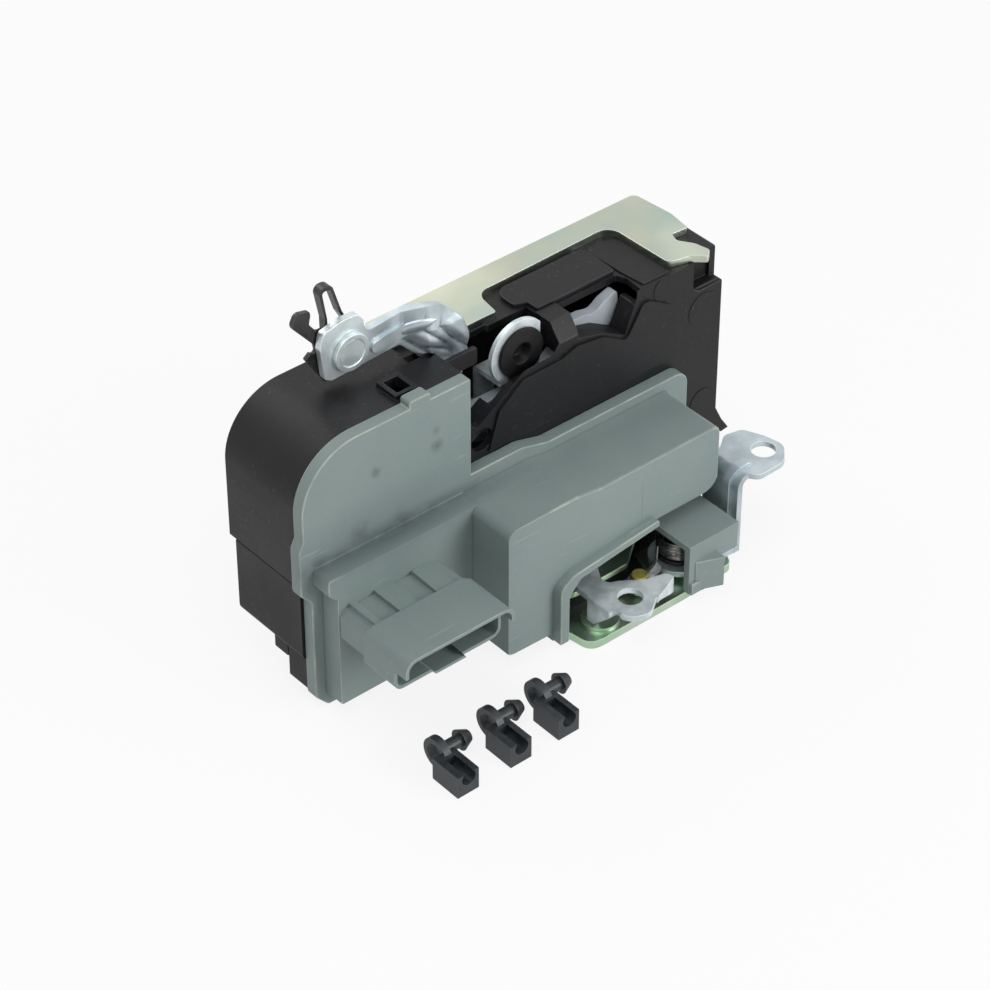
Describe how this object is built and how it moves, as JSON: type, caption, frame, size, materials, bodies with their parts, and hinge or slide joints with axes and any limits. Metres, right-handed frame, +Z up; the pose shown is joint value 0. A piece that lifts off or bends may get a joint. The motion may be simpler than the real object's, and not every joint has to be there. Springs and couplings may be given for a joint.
{
  "type": "door latch actuator",
  "caption": "Car door latch with a power lock drive: black housing, grey cover with a connector, zinc levers and a base plate with a striker slot.",
  "frame": {"origin": "on the underside of the base plate, below the front of the lever housing", "axes": "+X along the long side away from the connector, +Y from the grey cover towards the back, +Z up from the base plate to the levers"},
  "size_m": [0.1741, 0.1006, 0.1263],
  "materials": {
    "black_plastic": "fine moulded grain",
    "grey_plastic": "moulded, slightly worn",
    "brass": "plain",
    "board_plastic": "flat sheet",
    "switch_plastic": "moulded",
    "yellow_zinc": "yellow-green passivated zinc",
    "zinc": "bright zinc",
    "green_zinc": "green iridescent passivated zinc",
    "rubber": "moulded",
    "spring_steel": "drawn wire",
    "black_steel": "black coated sheet",
    "light_plastic": "moulded",
    "white_plastic": "moulded",
    "clip_plastic": "moulded"
  },
  "bodies": {
    "housing": {"main_housing": "black_plastic", "lower_housing": "black_plastic", "front_cover": "grey_plastic", "connector_housing": "grey_plastic", "pin_carrier": "black_plastic", "connector_pins": "brass", "contact_board": "board_plastic", "micro_switches": "switch_plastic", "board_posts": "grey_plastic", "steel_frame": "yellow_zinc", "frame_screws": "zinc", "base_plate": "green_zinc", "latch_body": "black_plastic", "striker_bumper": "rubber", "latch_back_plate": "green_zinc", "latch_screws": "zinc", "fork_pin": "zinc", "fork_spring": "spring_steel", "pawl_pin": "zinc", "pull_spring": "spring_steel", "spring_post": "yellow_zinc", "pawl_spring": "spring_steel", "ear_pin": "zinc", "ear_spool": "black_plastic", "ear_spring": "spring_steel", "lever_pivot_pin": "zinc", "handle_spring": "spring_steel", "eye_pivot_pin": "zinc", "eye_spring": "spring_steel", "gear_axle": "zinc", "motor_can": "zinc", "motor_cap": "black_plastic", "rod_clips": "clip_plastic"},
    "fork": {"fork": "zinc"},
    "pawl": {"pawl": "zinc"},
    "pull_lever": {"pull_lever": "zinc"},
    "ear_lever": {"ear_lever": "zinc"},
    "handle_lever": {"handle_lever": "zinc", "lever_rivet": "zinc"},
    "rod_hook": {"rod_hook": "black_steel", "hook_spring": "black_steel"},
    "eye_lever": {"eye_lever": "zinc", "eye_bush": "black_plastic"},
    "lock_lever": {"lock_lever": "light_plastic"},
    "drive_wheel": {"drive_wheel": "white_plastic"},
    "motor_rotor": {"motor_rotor": "zinc", "motor_pinion": "brass"}
  },
  "joints": [
    {"name": "lock_turn", "type": "hinge", "parent": "housing", "child": "lock_lever", "pos_m": [-0.0422, 0.0094, 0.0652], "axis": [0, 1, 0], "range_deg": [0, 20]},
    {"name": "wheel_turn", "type": "hinge", "parent": "housing", "child": "drive_wheel", "pos_m": [-0.07198, 0.008, 0.06154], "axis": [0, 1, 0], "range_deg": [-60, 0]},
    {"name": "motor_turn", "type": "hinge", "parent": "housing", "child": "motor_rotor", "pos_m": [-0.09247, 0.016, 0.07199], "axis": [0, 1, 0], "range_deg": [0, 216]},
    {"name": "handle_turn", "type": "hinge", "parent": "housing", "child": "handle_lever", "pos_m": [-0.0422, 0.0144, 0.0652], "axis": [0, 1, 0], "range_deg": [0, 15], "stiffness_Nm_per_rad": 0.3, "springref_deg": -11.46},
    {"name": "hook_turn", "type": "hinge", "parent": "handle_lever", "child": "rod_hook", "pos_m": [-0.0772, 0.0206, 0.1046], "axis": [0, 1, 0], "range_deg": [-10, 15]},
    {"name": "eye_turn", "type": "hinge", "parent": "housing", "child": "eye_lever", "pos_m": [-0.027, 0.0174, 0.054], "axis": [0, -1, 0], "range_deg": [0, 9], "stiffness_Nm_per_rad": 0.1, "springref_deg": -11.46},
    {"name": "pull_turn", "type": "hinge", "parent": "housing", "child": "pull_lever", "pos_m": [-0.015, -0.009, 0.0127], "axis": [0, 0, 1], "range_deg": [-10, 0], "stiffness_Nm_per_rad": 0.1, "springref_deg": 11.46},
    {"name": "pawl_turn", "type": "hinge", "parent": "housing", "child": "pawl", "pos_m": [-0.015, -0.009, 0.0058], "axis": [0, 0, 1], "range_deg": [-10, 0]},
    {"name": "ear_turn", "type": "hinge", "parent": "housing", "child": "ear_lever", "pos_m": [0.016, -0.025, 0.006], "axis": [0, 0, 1], "range_deg": [0, 10], "stiffness_Nm_per_rad": 0.1, "springref_deg": -11.46},
    {"name": "fork_turn", "type": "hinge", "parent": "housing", "child": "fork", "pos_m": [0.01, 0.01, 0.006], "axis": [0, 0, 1], "range_deg": [0, 55], "stiffness_Nm_per_rad": 0.05, "springref_deg": -17.19}
  ],
  "couplings": [
    {"joint": "wheel_turn", "follows": "lock_turn", "ratio": -3},
    {"joint": "motor_turn", "follows": "lock_turn", "ratio": 10.8},
    {"joint": "pawl_turn", "follows": "pull_turn", "ratio": 1}
  ]
}
